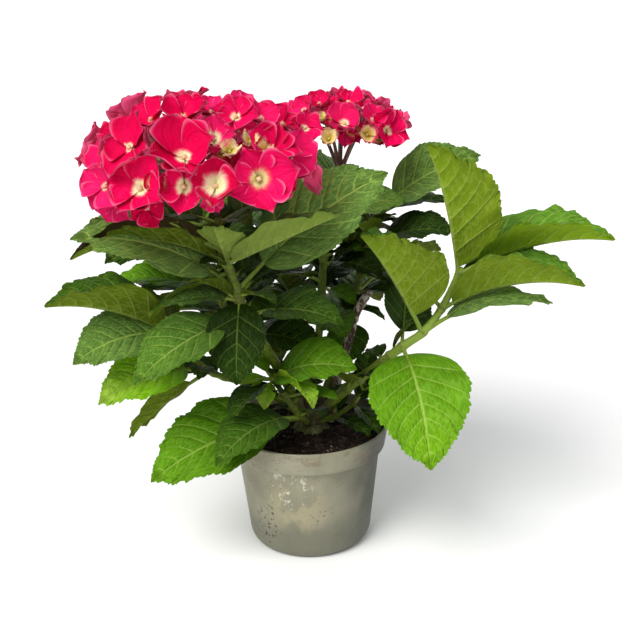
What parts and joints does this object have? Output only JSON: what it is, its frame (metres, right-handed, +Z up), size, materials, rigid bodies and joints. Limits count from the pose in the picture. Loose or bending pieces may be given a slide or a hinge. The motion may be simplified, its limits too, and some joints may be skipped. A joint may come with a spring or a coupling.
{
  "type": "potted hydrangea shrub",
  "caption": "Potted mophead hydrangea: leafy green shoots fanning out of a tapered nursery pot, with domed heads of crimson-pink florets and a dead cut twig.",
  "frame": {"origin": "centre of the pot's flat underside, on the ground", "axes": "+Z up, -Y towards the viewer of the picture, +X to the viewer's right, along the plant's widest spread"},
  "size_m": [0.4239, 0.308, 0.3752],
  "materials": {
    "pot": "satin",
    "compost": "matte",
    "wood": "matte",
    "dead_wood": "matte",
    "green_stem": "satin",
    "leaf": "satin",
    "sepal": "satin"
  },
  "bodies": {
    "root": {"pot": "pot", "soil": "compost", "root_crown": "wood", "cut_twig": "dead_wood", "bough_left_flower": "green_stem", "bough_rear_flower": "green_stem", "bough_right": "green_stem", "bough_low_left": "green_stem", "bough_front": "green_stem", "bough_low_right": "green_stem", "bough_rear_left": "green_stem", "bough_rear_right": "green_stem", "bough_rear": "green_stem", "leaves_left_flower": "leaf", "leaves_rear_flower": "leaf", "leaves_right": "leaf", "leaves_low_left": "leaf", "leaves_front": "leaf", "leaves_low_right": "leaf", "leaves_rear_left": "leaf", "leaves_rear_right": "leaf", "leaves_rear": "leaf", "bloom_left": "sepal", "bloom_rear": "sepal"}
  },
  "joints": []
}
